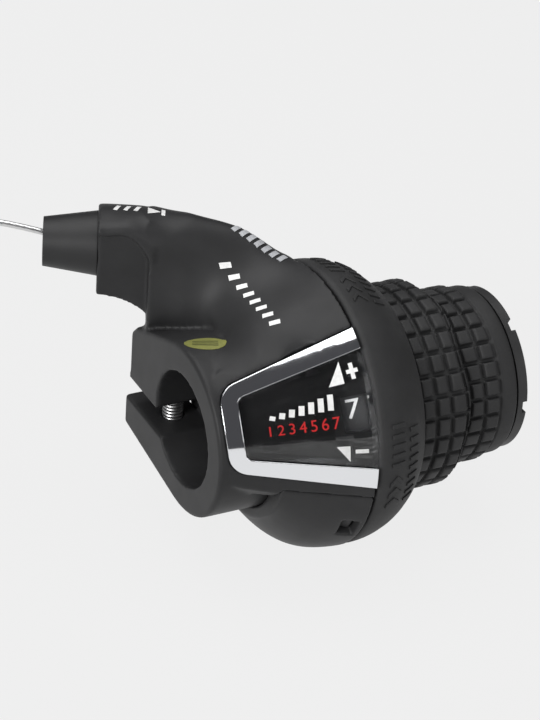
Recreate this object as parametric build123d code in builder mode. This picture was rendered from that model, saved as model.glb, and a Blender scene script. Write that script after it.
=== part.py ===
from build123d import *
import os
from math import acos, atan2, cos, degrees, exp, hypot, pi, radians, sin, sqrt, tan

# Right-hand twist grip shifter, indexed, for a 22.2 mm flat handlebar. All sizes in millimetres.
# The bar axis is X, outboard positive, and X = 0 is the clamp's inboard face.
# +Y is forward, away from the rider, and +Z is up. A dial angle is measured about the bar axis,
# from the rider's side (-Y) upwards.

# Handlebar and clamp
bar_r = 11.1
clamp_fit = 0.1
clamp_wall = 5.6
clamp_w = 11.0
clamp_edge = 0.7
slot_w = 5.0
slot_top_z = -1.9
upper_ear_y = 23.9
upper_ear_z = 10.0
upper_ear_step = 2.0
lower_ear_y = 25.5
lower_ear_z = -13.2

# Clamp bolt and its square nut
bolt_d = 4.0
bolt_hole_room = 0.15
bolt_x = 5.8
bolt_y = 15.8
bolt_head_d = 7.0
bolt_head_h = 4.0
bolt_seat_z = -11.6
bolt_tip_z = 6.0
bolt_socket_af = 3.0
bolt_socket_depth = 2.2
nut_side = 7.0
nut_h = 3.2
nut_z = 1.6
nut_room = 0.1

# Moulded body: a cone that carries the display, with an end wall against the clamp
rim_x = 26.7
rim_r = 27.5
cone_x = 3.0
cone_start_r = 17.2
end_wall = 2.5
shell_wall = 3.9

# Lower cover, a bowl under the bar, with a snap window on each side
cover_wall = 2.2
bowl_start = 1.2
bowl_angle = 55.0
bowl_power = 4.2
bowl_edge = 4.0
station_count = 6
spoke_count = 24
seam_near = -10.0
seam_far = -170.0
seam_gap = 0.1
snap_x = 22.6
snap_len = 3.2
snap_low = -36.0
snap_high = -25.0
snap_root = 3.0
snap_tab_t = 1.4
snap_barb = 1.2
snap_room = 0.3
barb_inset = 1.0

# Cable arm, from its inboard end towards the body
arm_x = -5.8
arm_y = 27.9
arm_z = 26.2
arm_yaw = 24.0
neck_s = 9.6
block_half = 6.2
block_top = 5.6
block_bottom = 7.8
block_foot = 12.2
block_foot_s = 10.2
block_tail = 9.0
block_end_s = 12.0
block_round = 5.0

# Cross-sections of the arm's lid: distance along the arm, then points (across, up) over its crown
lid_sections = [
    (0.0, [(-7.0, 5.4), (-6.5, 6.6), (-4.2, 7.4), (-0.5, 7.6), (3.0, 6.7), (5.6, 5.0), (7.0, 2.5)]),
    (3.5, [(-7.0, 5.4), (-6.5, 6.6), (-4.2, 7.5), (-0.5, 7.7), (3.0, 6.8), (5.6, 5.0), (7.0, 2.4)]),
    (6.5, [(-7.1, 4.7), (-6.6, 6.3), (-4.3, 7.5), (-0.5, 7.7), (3.1, 6.7), (5.8, 4.7), (7.1, 1.6)]),
    (neck_s, [(-7.05, 0.3), (-6.75, 4.5), (-4.3, 7.15), (-0.5, 7.55), (3.1, 6.35), (6.05, 3.9),
              (7.0, 0.0)]),
    (12.5, [(-5.0, -3.0), (-4.6, 0.0), (-3.0, 3.4), (0.0, 4.4), (3.0, 3.4), (4.6, 0.0), (5.0, -3.0)]),
]

# Cross-sections of the saddle that joins the arm to the body. Their planes stand on a point beside
# the clamp and fan out from across the arm to along the display. Each has its place along the arm,
# its fan angle and points (outwards, up), from the foot of the wall over the ridge to the far foot
fan_s = 14.0
fan_back = 18.0
saddle_sections = [
    (neck_s, 0.0, [(13.4, -16.8), (9.8, -8.5), (10.8, 0.4), (11.4, 4.6), (13.8, 7.3),
                   (17.5, 7.7), (21.2, 6.5), (24.4, 3.4), (25.8, -4.0), (22.5, -16.8)]),
    (fan_s, 0.0, [(14.0, -17.0), (9.4, -8.5), (10.8, -0.6), (11.9, 3.4), (14.4, 6.3),
                  (17.6, 7.0), (21.3, 5.4), (24.6, 2.0), (26.4, -4.5), (23.0, -17.0)]),
    (fan_s, 30.0, [(13.0, -17.0), (9.6, -9.0), (11.2, -3.2), (13.2, 0.6), (16.0, 3.4),
                   (19.6, 4.5), (23.0, 2.6), (26.0, -0.6), (29.0, -5.0), (29.0, -17.0)]),
    (fan_s, 45.0, [(11.8, -16.5), (10.3, -9.5), (11.7, -4.6), (14.2, -1.2), (18.0, 1.3),
                   (22.5, 2.4), (25.2, 0.8), (28.0, -2.0), (31.0, -6.0), (31.0, -16.5)]),
    (fan_s, 60.0, [(10.0, -16.0), (10.4, -10.0), (11.7, -5.6), (14.2, -2.9), (18.0, -1.1),
                   (22.5, -0.1), (26.0, -0.2), (29.0, -1.6), (32.0, -4.0), (33.0, -16.0)]),
    (fan_s, 85.0, [(9.6, -15.0), (10.2, -9.8), (11.4, -5.8), (13.6, -3.9), (17.0, -2.4),
                   (21.5, -0.9), (26.0, -0.4), (28.5, -1.4), (31.0, -4.0), (33.0, -15.0)]),
    (fan_s, 108.0, [(11.0, -13.5), (11.6, -10.4), (12.8, -7.4), (14.8, -5.5), (18.0, -4.8),
                    (22.0, -4.7), (26.0, -5.3), (28.5, -6.6), (31.0, -9.0), (33.0, -14.5)]),
    (fan_s, 125.0, [(11.0, -15.0), (12.0, -13.2), (13.2, -12.0), (14.6, -11.2), (17.0, -10.6),
                    (20.0, -10.8), (23.0, -11.8), (26.0, -13.2), (28.0, -14.5), (30.0, -16.0)]),
]

# Cable outlet, a tapered barrel in the arm's end
outlet_base_r = 6.15
outlet_tip_r = 4.65
outlet_len = 10.2
outlet_spigot_r = 4.5
outlet_spigot_len = 5.0
outlet_fit = 0.05
casing_r = 2.75
casing_depth = 7.0
wire_hole_r = 1.0

# Shift wire inside the body
wire_d = 1.2
wire_exit_rise = 1.9
tunnel_r = 1.3
tunnel_start = 9.0
lead_run = 19.1
lead_join_s = 10.0
lead_bend_s = -2.5
lead_r = 15.0
lead_out_r = 20.0

# Display: bezel, lens and printed plate in one tapered recess
dial_angle = 28.0
display_span = 110.0
display_x = 1.5
display_end_x = 26.5
bezel_half_in = 7.6
bezel_half_out = 15.4
bezel_corner = 4.0
bezel_proud = 0.5
opening_x = 4.4
opening_half_in = 5.7
opening_half_out = 11.4
opening_corner = 1.5
recess = 2.6
plate_t = 0.6
lens_proud = 0.1
display_fit = 0.1
plateau_rim = 1.3
plateau_depth = 7.0
plateau_draft = 20.0
window_x = 22.0
window_low = 18.9
window_high = 34.6

# Fixed tube through the grip, and its end ring
tube_bore_r = 11.3
tube_wall = 1.2
tube_fit = 0.05
ring_lip = 1.1
ring_gap = 0.3
ring_t = 2.0
ring_r = 16.0
ring_notch_count = 6
ring_notch_w = 2.4
ring_notch_depth = 0.9

# Turning pieces: drum, sleeve and number ring
run_fit = 0.08
washer_t = 0.5
washer_r = 16.5
axial_room = 0.1
drum_r = 17.0
drum_end_x = 20.2
groove_x = 16.4
groove_w = 1.8
groove_room = 0.15
wrap_r = 14.9
wrap_start = 180.0
exit_turn = 25.0
click_deg = 14.0
click_count = 6
notch_r = 0.9
notch_x = 17.5
nipple_r = 1.6
nipple_len = 4.0
nipple_room = 0.1
dog_count = 3
dog_w = 4.0
dog_len = 1.6
dog_r = 13.9
dog_h = 1.6
dog_room = 0.1
hub_r = 15.5
flange_gap = 0.4
flange_t = 2.0
core_past_waist = 0.6
number_gap = 0.5
number_t = 1.2
number_x = 20.8
web_t = 1.4
web_fit = 0.05

# Detent leaf spring, between the housing's wall and the drum
spring_dial = 150.0
spring_t = 0.5
spring_x = 17.8
spring_w = 2.2
spring_end_room = 0.09
spring_lift = 0.6
spring_nose_half = 1.5
spring_nose_depth = 0.25
ledge_r = 18.0
ledge_half = 25.0
ledge_room = 0.2

# Rubber grip cover
rubber_fit = 0.05
collar_gap = 0.5
collar_step = 0.1
collar_chamfer = 0.5
collar_face_len = 0.6
collar_bulge_len = 6.8
collar_bulge_drop = 1.2
collar_len = 12.5
collar_end_step = 1.0
collar_wall = 2.6
tread_r = 20.9
tread_floor = 1.4
tread_len = 9.7
waist_len = 2.9
waist_drop = 2.8
tail_len = 7.1
tail_floor = 1.6
band_drop = 0.6
band_len = 3.6
rubber_round = 0.8
row_count = 30
tread_depth = 1.1
tread_gap = 0.8
tread_columns = 3
tail_columns = 2

# Free wire, put away in a tied coil on the surface that the object stands on
floor_z = -27.6
coil_x = -57.9
coil_y = 39.3
coil_mean_r = 10.8
coil_side = 6.0
coil_round = 1.5
coil_lift = 0.8
tie_t = 0.4
tie_w = 3.0
tie_room = 0.3
tie_turn = 246.0
free_points = [
    (-22.06, 35.14, 30.0),
    (-29.37, 38.39, 30.3),
    (-34.12, 40.51, 24.5),
    (-36.49, 41.57, 15.0),
    (-36.95, 41.77, 4.0),
    (-38.50, 42.46, -6.5),
    (-41.61, 43.84, -15.0),
    (-47.09, 46.28, -19.3),
    (-53.49, 49.13, -20.1),
]
bend_share = 0.45

clamp_bore_r = bar_r + clamp_fit
clamp_r = clamp_bore_r + clamp_wall
slot_bottom_z = slot_top_z - slot_w
cone_slope = (rim_r - cone_start_r) / (rim_x - cone_x)
wall_x = clamp_w
cavity_x = wall_x + end_wall
tube_r = tube_bore_r + tube_wall
run_bore_r = tube_r + run_fit
wire_r = wire_d / 2
drum_x = cavity_x + washer_t + axial_room
spring_r = drum_r + spring_lift
spring_nose_r = drum_r - spring_nose_depth
flange_x = rim_x + flange_gap
collar_x = rim_x + collar_gap
collar_r = rim_r - collar_step
collar_face_x = collar_x + collar_face_len
collar_face_r = collar_r - collar_chamfer
collar_bulge_x = collar_x + collar_bulge_len
collar_bulge_r = collar_r - collar_bulge_drop
collar_end_x = collar_x + collar_len
collar_end_r = tread_r + collar_end_step
flange_r = collar_r - collar_wall
core_r = tread_r - tread_depth - tread_floor
waist_x = collar_end_x + tread_len
waist_end_x = waist_x + waist_len
waist_r = tread_r - waist_drop
core_end_x = waist_x + core_past_waist
tail_r = waist_r - tread_depth - tail_floor
band_x = waist_end_x + tail_len
band_r = waist_r - band_drop
rubber_end_x = band_x + band_len
ring_x = rubber_end_x + ring_gap
ring_end_x = ring_x + ring_t
tube_end_x = ring_end_x - ring_lip
full_turn = 360.0
half_turn = 180.0
quarter_turn = 90.0
far_out = 60.0
past = 1.0
seam_turn = degrees(seam_gap / rim_r)

os.makedirs("parts", exist_ok=True)


def cone_r(x):
    """Radius of the display cone at a place along the bar."""
    return rim_r - cone_slope * (rim_x - x)


def dial_plane(angle):
    """Plane through the bar axis: first direction along the bar, second outwards at a dial angle."""
    turn = radians(angle)
    return Plane(origin=(0, 0, 0), x_dir=(1, 0, 0), z_dir=(0, -sin(turn), -cos(turn)))


def outline(plane, points):
    """Flat face with straight sides on a plane."""
    with BuildSketch(plane) as flat:
        with BuildLine():
            Polyline(*points, close=True)
        make_face()
    return flat.sketch


def cone_strip(x_from, x_to, above, below, angle):
    """Strip that follows the cone, between two radial distances from it, in one dial plane."""
    return outline(dial_plane(angle), [
        (x_from, cone_r(x_from) - below),
        (x_to, cone_r(x_to) - below),
        (x_to, cone_r(x_to) + above),
        (x_from, cone_r(x_from) + above),
    ])


def tangent_point(y, z, side):
    """Point where a line from (y, z) touches the clamp ring, above (1) or below (-1) it."""
    turn = atan2(z, y) + side * acos(clamp_r / hypot(y, z))
    return (clamp_r * cos(turn), clamp_r * sin(turn))


def dial_section(x, angle):
    """Plane across the bar: first direction round the bar, second outwards at a dial angle."""
    turn = radians(angle)
    return Plane(origin=(x, 0, 0), x_dir=(0, sin(turn), cos(turn)), z_dir=(1, 0, 0))


def arm_plane(s):
    """Cross-section plane of the cable arm at a distance from its inboard end."""
    yaw = radians(arm_yaw)
    origin = (arm_x + s * cos(yaw), arm_y - s * sin(yaw), arm_z)
    return Plane(origin=origin, x_dir=(sin(yaw), cos(yaw), 0), z_dir=(cos(yaw), -sin(yaw), 0))


def arm_point(s, rise=0.0):
    """Point on the arm's centre line, or above it."""
    yaw = radians(arm_yaw)
    return Vector(arm_x + s * cos(yaw), arm_y - s * sin(yaw), arm_z + rise)


def fan_plane(s, angle):
    """Upright plane on the saddle's fan point, turned from across the arm towards the body."""
    yaw = radians(arm_yaw)
    turn = radians(arm_yaw + angle)
    origin = (
        arm_x + s * cos(yaw) - fan_back * sin(yaw),
        arm_y - s * sin(yaw) - fan_back * cos(yaw),
        arm_z,
    )
    return Plane(origin=origin, x_dir=(sin(turn), cos(turn), 0), z_dir=(cos(turn), -sin(turn), 0))


def bowl_radius(x, angle):
    """Outer radius of the lower cover at an angle from +Y: the cone, swollen under the bar."""
    to_rim = (x - wall_x) / (rim_x - wall_x)
    start_r = clamp_r + bowl_start
    bottom = start_r + (rim_r - start_r) * (1 - (1 - to_rim) ** bowl_power)
    below = (angle + quarter_turn + half_turn) % full_turn - half_turn
    return cone_r(x) + (bottom - cone_r(x)) * exp(-((below / bowl_angle) ** bowl_edge))


def display_plane():
    """Plane that touches the cone along the middle of the display."""
    turn = radians(dial_angle)
    radius = cone_r(display_x)
    along = Vector(1, -cone_slope * cos(turn), cone_slope * sin(turn))
    outward = Vector(-cone_slope, -cos(turn), sin(turn))
    origin = (display_x, -radius * cos(turn), radius * sin(turn))
    return Plane(origin=origin, x_dir=along, z_dir=outward)


def display_frame(x_from, half_in, half_out, corner, grow):
    """Tapered outline of a display piece, open past the rim, with rounded inboard corners."""
    stretch = sqrt(1 + cone_slope ** 2)
    start = (x_from - display_x) * stretch - grow
    end = (rim_x - display_x) * stretch + far_out
    flare = (half_out - half_in) / (rim_x - x_from) * (end - start) / stretch
    with BuildSketch(display_plane()) as frame:
        with BuildLine():
            Polyline(
                (start, -half_in - grow),
                (end, -half_in - grow - flare),
                (end, half_in + grow + flare),
                (start, half_in + grow),
                close=True,
            )
        make_face()
        fillet(frame.vertices().sort_by(Axis.X)[:2], radius=corner)
    return frame.sketch


display_upper = dial_angle + display_span / 2
bezel_outline = (display_x, bezel_half_in, bezel_half_out, bezel_corner)
opening_outline = (opening_x, opening_half_in, opening_half_out, opening_corner)

# Split clamp band with its two ears
with BuildPart() as clamp_form:
    with BuildSketch(Plane.YZ):
        Circle(clamp_r)
        with BuildLine():
            Polyline(
                (0, 0),
                (upper_ear_y, 0),
                (upper_ear_y, upper_ear_z - upper_ear_step),
                (upper_ear_y - upper_ear_step, upper_ear_z),
                tangent_point(upper_ear_y - upper_ear_step, upper_ear_z, 1),
                close=True,
            )
        make_face()
        with BuildLine():
            Polyline(
                (0, 0),
                tangent_point(lower_ear_y, lower_ear_z, -1),
                (lower_ear_y, lower_ear_z),
                (lower_ear_y, slot_bottom_z),
                (upper_ear_y, 0),
                close=True,
            )
        make_face()
    extrude(amount=clamp_w + end_wall)
    fillet(clamp_form.faces().sort_by(Axis.X)[0].outer_wire().edges(), radius=clamp_edge)

# Display cone, which runs on over the clamp only under the bezel
with BuildPart() as cone_form:
    revolve(
        outline(Plane.XZ, [
            (0, bar_r),
            (rim_x, bar_r),
            (rim_x, rim_r),
            (0, cone_r(0)),
        ]),
        axis=Axis.X,
    )
    with BuildPart(mode=Mode.PRIVATE) as kept:
        with Locations((wall_x, 0, 0)):
            Box(far_out, 2 * far_out, 2 * far_out, align=(Align.MIN, Align.CENTER, Align.CENTER))
        extrude(display_frame(*bezel_outline, plateau_rim), amount=plateau_depth)
        extrude(display_frame(*bezel_outline, plateau_rim), amount=-plateau_depth, taper=-plateau_draft)
    add(kept.part, mode=Mode.INTERSECT)

# Recess that takes the bezel, the lens and the plate
with BuildPart() as recess_form:
    revolve(
        cone_strip(0, rim_x + past, far_out - rim_r, recess, display_upper),
        axis=Axis.X,
        revolution_arc=display_span,
    )
    extrude(display_frame(*bezel_outline, display_fit), amount=far_out, both=True, mode=Mode.INTERSECT)

# Shift wire inside the body: off the drum, through the saddle, out at the arm's end
exit_angle = radians(exit_turn)
wire_leave = Vector(groove_x, -wrap_r * sin(exit_angle), wrap_r * cos(exit_angle))
wire_way = Vector(0, cos(exit_angle), sin(exit_angle))
wire_exit = arm_point(-outlet_len, wire_exit_rise)
lead_points = [
    wire_leave,
    wire_leave + wire_way * lead_run,
    arm_point(lead_join_s),
    arm_point(lead_bend_s),
    wire_exit,
]
lead_radii = [lead_r, lead_r, lead_out_r]

with BuildPart() as tunnel_form:
    with BuildLine() as tunnel_path:
        FilletPolyline(
            wire_leave + wire_way * tunnel_start,
            *lead_points[1:4],
            radius=lead_radii[:2],
        )
    with BuildSketch(Plane(origin=tunnel_path.line @ 0, z_dir=tunnel_path.line % 0)):
        Circle(tunnel_r)
    sweep()

# Lid of the arm: a crowned strip from the arm's end that narrows and sinks into the saddle
with BuildPart() as lid_form:
    for place, points in lid_sections:
        with BuildSketch(arm_plane(place)):
            with BuildLine():
                Spline(*points)
                Line(points[-1], points[0])
            make_face()
    loft()

# Saddle between the arm and the cone
with BuildPart() as saddle_form:
    for place, fan_angle, points in saddle_sections:
        with BuildSketch(fan_plane(place, fan_angle)):
            with BuildLine():
                Spline(*points)
                Line(points[-1], points[0])
            make_face()
    loft()

# Block under the lid, with a hollow curve down to the saddle
with BuildPart() as block_form:
    with BuildSketch(Plane(origin=arm_point(0), x_dir=arm_plane(0).z_dir, z_dir=-arm_plane(0).x_dir)):
        with BuildLine():
            Polyline(
                (0, -block_bottom),
                (0, block_top),
                (block_end_s, block_top),
                (block_end_s, -block_tail),
                (block_foot_s, -block_foot),
            )
            TangentArc((0, -block_bottom), (block_foot_s, -block_foot), tangent=(1, 0))
        make_face()
    extrude(amount=block_half, both=True)
    far_edges = block_form.faces().sort_by(Axis((0, 0, 0), arm_plane(0).x_dir))[-1].edges()
    fillet(far_edges.sort_by(Axis.Z)[-1], radius=block_round)

# Housing: clamp, body and arm in one moulding
with BuildPart() as housing:
    add(cone_form.part)
    add(clamp_form.part)
    add(saddle_form.part)
    add(block_form.part)
    add(lid_form.part)
    # Nothing of the body reaches past the rim
    with Locations((rim_x, 0, 0)):
        Box(
            far_out,
            2 * far_out,
            2 * far_out,
            align=(Align.MIN, Align.CENTER, Align.CENTER),
            mode=Mode.SUBTRACT,
        )
    # Cavity for the drum, with the bottom open for the cover
    revolve(
        outline(Plane.XZ, [
            (cavity_x, 0),
            (rim_x + past, 0),
            (rim_x + past, cone_r(rim_x + past) - shell_wall),
            (cavity_x, cone_r(cavity_x) - shell_wall),
        ]),
        axis=Axis.X,
        mode=Mode.SUBTRACT,
    )
    revolve(
        outline(dial_plane(seam_near), [
            (wall_x, clamp_r),
            (rim_x + past, clamp_r),
            (rim_x + past, far_out),
            (wall_x, far_out),
        ]),
        axis=Axis.X,
        revolution_arc=seam_near - seam_far,
        mode=Mode.SUBTRACT,
    )
    add(recess_form.part, mode=Mode.SUBTRACT)
    # Window under the printed plate, for the number ring
    revolve(
        cone_strip(window_x, rim_x + past, past, shell_wall + past, window_high),
        axis=Axis.X,
        revolution_arc=window_high - window_low,
        mode=Mode.SUBTRACT,
    )
    # Snap tabs that reach behind the cover, each with a barb
    for side in (-1, 1):
        tab_top = seam_near + snap_root if side < 0 else seam_far - snap_root
        tab_angles = [tab_top, snap_low if side < 0 else -half_turn - snap_low]
        barb_angles = [snap_high if side < 0 else -half_turn - snap_high, tab_angles[1]]
        revolve(
            cone_strip(
                snap_x + snap_room,
                snap_x + snap_len - snap_room,
                -cover_wall - seam_gap,
                cover_wall + seam_gap + snap_tab_t,
                max(tab_angles),
            ),
            axis=Axis.X,
            revolution_arc=max(tab_angles) - min(tab_angles),
        )
        revolve(
            cone_strip(
                snap_x + 2 * snap_room,
                snap_x + snap_len - 2 * snap_room,
                snap_barb - cover_wall,
                cover_wall + snap_tab_t / 2,
                max(barb_angles) - barb_inset,
            ),
            axis=Axis.X,
            revolution_arc=max(barb_angles) - min(barb_angles) - 2 * barb_inset,
        )
    # Ledge on the end wall that keeps the detent spring in its place along the bar
    revolve(
        outline(dial_plane(spring_dial + ledge_half), [
            (cavity_x - past, ledge_r),
            (spring_x - ledge_room, ledge_r),
            (spring_x - ledge_room, cone_r(cavity_x)),
            (cavity_x - past, cone_r(cavity_x) - past),
        ]),
        axis=Axis.X,
        revolution_arc=2 * ledge_half,
    )
    # Bar bore, slot and the seat of the fixed tube
    with BuildSketch(Plane.YZ):
        Circle(clamp_bore_r)
    extrude(amount=cavity_x, mode=Mode.SUBTRACT)
    with BuildSketch(Plane.YZ):
        with Locations((far_out / 2, slot_top_z - slot_w / 2)):
            Rectangle(far_out, slot_w)
    extrude(amount=clamp_w, mode=Mode.SUBTRACT)
    with BuildSketch(Plane.YZ.offset(clamp_w)):
        Circle(tube_r + tube_fit)
    extrude(amount=cavity_x - clamp_w, mode=Mode.SUBTRACT)
    # Bolt hole, head counterbore and nut pocket in the ears
    with Locations((bolt_x, bolt_y, bolt_tip_z + past)):
        Cylinder(
            bolt_d / 2 + bolt_hole_room,
            far_out / 2,
            align=(Align.CENTER, Align.CENTER, Align.MAX),
            mode=Mode.SUBTRACT,
        )
    with Locations((bolt_x, bolt_y, bolt_seat_z)):
        Cylinder(
            bolt_head_d / 2 + bolt_hole_room,
            far_out / 2,
            align=(Align.CENTER, Align.CENTER, Align.MAX),
            mode=Mode.SUBTRACT,
        )
    with Locations((bolt_x, bolt_y - nut_side / 2 - nut_room, nut_z - nut_room)):
        Box(
            nut_side + 2 * nut_room,
            far_out,
            nut_h + 2 * nut_room,
            align=(Align.CENTER, Align.MIN, Align.MIN),
            mode=Mode.SUBTRACT,
        )
    # Wire tunnel and the outlet's socket in the arm
    add(tunnel_form.part, mode=Mode.SUBTRACT)
    with BuildSketch(arm_plane(0)):
        Circle(outlet_spigot_r + outlet_fit)
    extrude(amount=outlet_spigot_len, mode=Mode.SUBTRACT)
housing.part.label = "housing"
export_step(housing.part, "parts/housing.step")

# Lower cover, the bowl under the bar
with BuildPart() as lower_cover:
    for i in range(station_count):
        station = wall_x + (rim_x - wall_x) * i / (station_count - 1)
        spokes = [full_turn * j / spoke_count for j in range(spoke_count)]
        with BuildSketch(Plane.YZ.offset(station)):
            with BuildLine():
                Spline(
                    *[
                        (
                            bowl_radius(station, spoke) * cos(radians(spoke)),
                            bowl_radius(station, spoke) * sin(radians(spoke)),
                        )
                        for spoke in spokes
                    ],
                    periodic=True,
                )
            make_face()
    loft()
    revolve(
        outline(dial_plane(seam_near - seam_turn), [
            (wall_x + seam_gap, clamp_r + seam_gap),
            (rim_x, clamp_r + seam_gap),
            (rim_x, far_out),
            (wall_x + seam_gap, far_out),
        ]),
        axis=Axis.X,
        revolution_arc=seam_near - seam_far - 2 * seam_turn,
        mode=Mode.INTERSECT,
    )
    revolve(
        outline(Plane.XZ, [
            (cavity_x, 0),
            (rim_x + past, 0),
            (rim_x + past, cone_r(rim_x + past) - cover_wall),
            (cavity_x, cone_r(cavity_x) - cover_wall),
        ]),
        axis=Axis.X,
        mode=Mode.SUBTRACT,
    )
    # A window on each side for the housing's snap barb
    for top in (snap_high, -half_turn - snap_low):
        revolve(
            cone_strip(snap_x, snap_x + snap_len, far_out - rim_r, cover_wall + past, top),
            axis=Axis.X,
            revolution_arc=snap_high - snap_low,
            mode=Mode.SUBTRACT,
        )
lower_cover.part.label = "lower_cover"
export_step(lower_cover.part, "parts/lower_cover.step")

# Printed plate at the bottom of the display, with the number window
with BuildPart() as display_plate:
    revolve(
        cone_strip(0, display_end_x, plate_t - recess, recess, display_upper),
        axis=Axis.X,
        revolution_arc=display_span,
    )
    extrude(display_frame(*opening_outline, -display_fit), amount=far_out, both=True, mode=Mode.INTERSECT)
    revolve(
        cone_strip(window_x, rim_x, past, recess + past, window_high),
        axis=Axis.X,
        revolution_arc=window_high - window_low,
        mode=Mode.SUBTRACT,
    )
display_plate.part.label = "display_plate"
export_step(display_plate.part, "parts/display_plate.step")

# Clear lens over the plate
with BuildPart() as display_lens:
    revolve(
        cone_strip(0, display_end_x, lens_proud, recess - plate_t, display_upper),
        axis=Axis.X,
        revolution_arc=display_span,
    )
    extrude(display_frame(*opening_outline, -display_fit), amount=far_out, both=True, mode=Mode.INTERSECT)
display_lens.part.label = "display_lens"
export_step(display_lens.part, "parts/display_lens.step")

# Bezel round the lens, open at the rim
with BuildPart() as display_bezel:
    revolve(
        cone_strip(0, display_end_x, bezel_proud, recess, display_upper),
        axis=Axis.X,
        revolution_arc=display_span,
    )
    extrude(display_frame(*bezel_outline, 0), amount=far_out, both=True, mode=Mode.INTERSECT)
    extrude(display_frame(*opening_outline, 0), amount=far_out, both=True, mode=Mode.SUBTRACT)
display_bezel.part.label = "display_bezel"
export_step(display_bezel.part, "parts/display_bezel.step")

# Cable outlet in the arm's end
with BuildPart() as cable_outlet:
    with BuildSketch(arm_plane(0)):
        Circle(outlet_base_r)
    with BuildSketch(arm_plane(-outlet_len)):
        Circle(outlet_tip_r)
    loft()
    with BuildSketch(arm_plane(0)):
        Circle(outlet_spigot_r)
    extrude(amount=outlet_spigot_len)
    with BuildSketch(arm_plane(-outlet_len)):
        Circle(casing_r)
    extrude(amount=casing_depth, mode=Mode.SUBTRACT)
    with BuildSketch(arm_plane(-outlet_len)):
        Circle(wire_hole_r)
    extrude(amount=outlet_len + outlet_spigot_len, mode=Mode.SUBTRACT)
cable_outlet.part.label = "cable_outlet"
export_step(cable_outlet.part, "parts/cable_outlet.step")

# Clamp bolt from below, with a hexagon socket
with BuildPart() as clamp_bolt:
    with Locations((bolt_x, bolt_y, bolt_seat_z)):
        Cylinder(bolt_d / 2, bolt_tip_z - bolt_seat_z, align=(Align.CENTER, Align.CENTER, Align.MIN))
        Cylinder(bolt_head_d / 2, bolt_head_h, align=(Align.CENTER, Align.CENTER, Align.MAX))
    with BuildSketch(Plane.XY.offset(bolt_seat_z - bolt_head_h)):
        with Locations((bolt_x, bolt_y)):
            RegularPolygon(bolt_socket_af / 2, 6, major_radius=False)
    extrude(amount=bolt_socket_depth, mode=Mode.SUBTRACT)
clamp_bolt.part.label = "clamp_bolt"
export_step(clamp_bolt.part, "parts/clamp_bolt.step")

# Square nut in the upper ear
with BuildPart() as clamp_nut:
    with Locations((bolt_x, bolt_y, nut_z)):
        Box(nut_side, nut_side, nut_h, align=(Align.CENTER, Align.CENTER, Align.MIN))
        Cylinder(
            bolt_d / 2,
            nut_h,
            align=(Align.CENTER, Align.CENTER, Align.MIN),
            mode=Mode.SUBTRACT,
        )
clamp_nut.part.label = "clamp_nut"
export_step(clamp_nut.part, "parts/clamp_nut.step")

# Fixed tube that the grip turns on
with BuildPart() as bar_tube:
    with BuildSketch(Plane.YZ.offset(clamp_w)):
        Circle(tube_r)
        Circle(tube_bore_r, mode=Mode.SUBTRACT)
    extrude(amount=tube_end_x - clamp_w)
bar_tube.part.label = "bar_tube"
export_step(bar_tube.part, "parts/bar_tube.step")

# Ring on the tube's end that keeps the grip on, with notches in its face
with BuildPart() as end_ring:
    with BuildSketch(Plane.YZ.offset(ring_x)):
        Circle(ring_r)
        Circle(tube_bore_r, mode=Mode.SUBTRACT)
    extrude(amount=ring_end_x - ring_x)
    with BuildSketch(Plane.YZ.offset(ring_x)):
        Circle(tube_r + tube_fit)
    extrude(amount=tube_end_x - ring_x, mode=Mode.SUBTRACT)
    with BuildSketch(Plane.YZ.offset(ring_end_x - ring_notch_depth)):
        with PolarLocations(ring_r, ring_notch_count):
            Rectangle(2 * (ring_r - tube_r), ring_notch_w)
    extrude(amount=ring_notch_depth, mode=Mode.SUBTRACT)
end_ring.part.label = "end_ring"
export_step(end_ring.part, "parts/end_ring.step")

# Thrust washer between the end wall and the drum
with BuildPart() as thrust_washer:
    with BuildSketch(Plane.YZ.offset(cavity_x)):
        Circle(washer_r)
        Circle(tube_r + tube_fit, mode=Mode.SUBTRACT)
    extrude(amount=washer_t)
thrust_washer.part.label = "thrust_washer"
export_step(thrust_washer.part, "parts/thrust_washer.step")

# Detent leaf spring: a strip with a nose that sits in a notch of the drum
spring_reach = cone_r(spring_x) - shell_wall - spring_end_room
spring_half = sqrt(spring_reach ** 2 - (spring_r + spring_t / 2) ** 2)
with BuildPart() as detent_spring:
    with BuildSketch(dial_section(spring_x, spring_dial)):
        with BuildLine():
            Polyline(
                (-spring_half, spring_r),
                (-spring_nose_half, spring_r),
                (0, spring_nose_r),
                (spring_nose_half, spring_r),
                (spring_half, spring_r),
            )
            offset(amount=spring_t / 2)
        make_face()
    extrude(amount=spring_w)
detent_spring.part.label = "detent_spring"
export_step(detent_spring.part, "parts/detent_spring.step")

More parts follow.
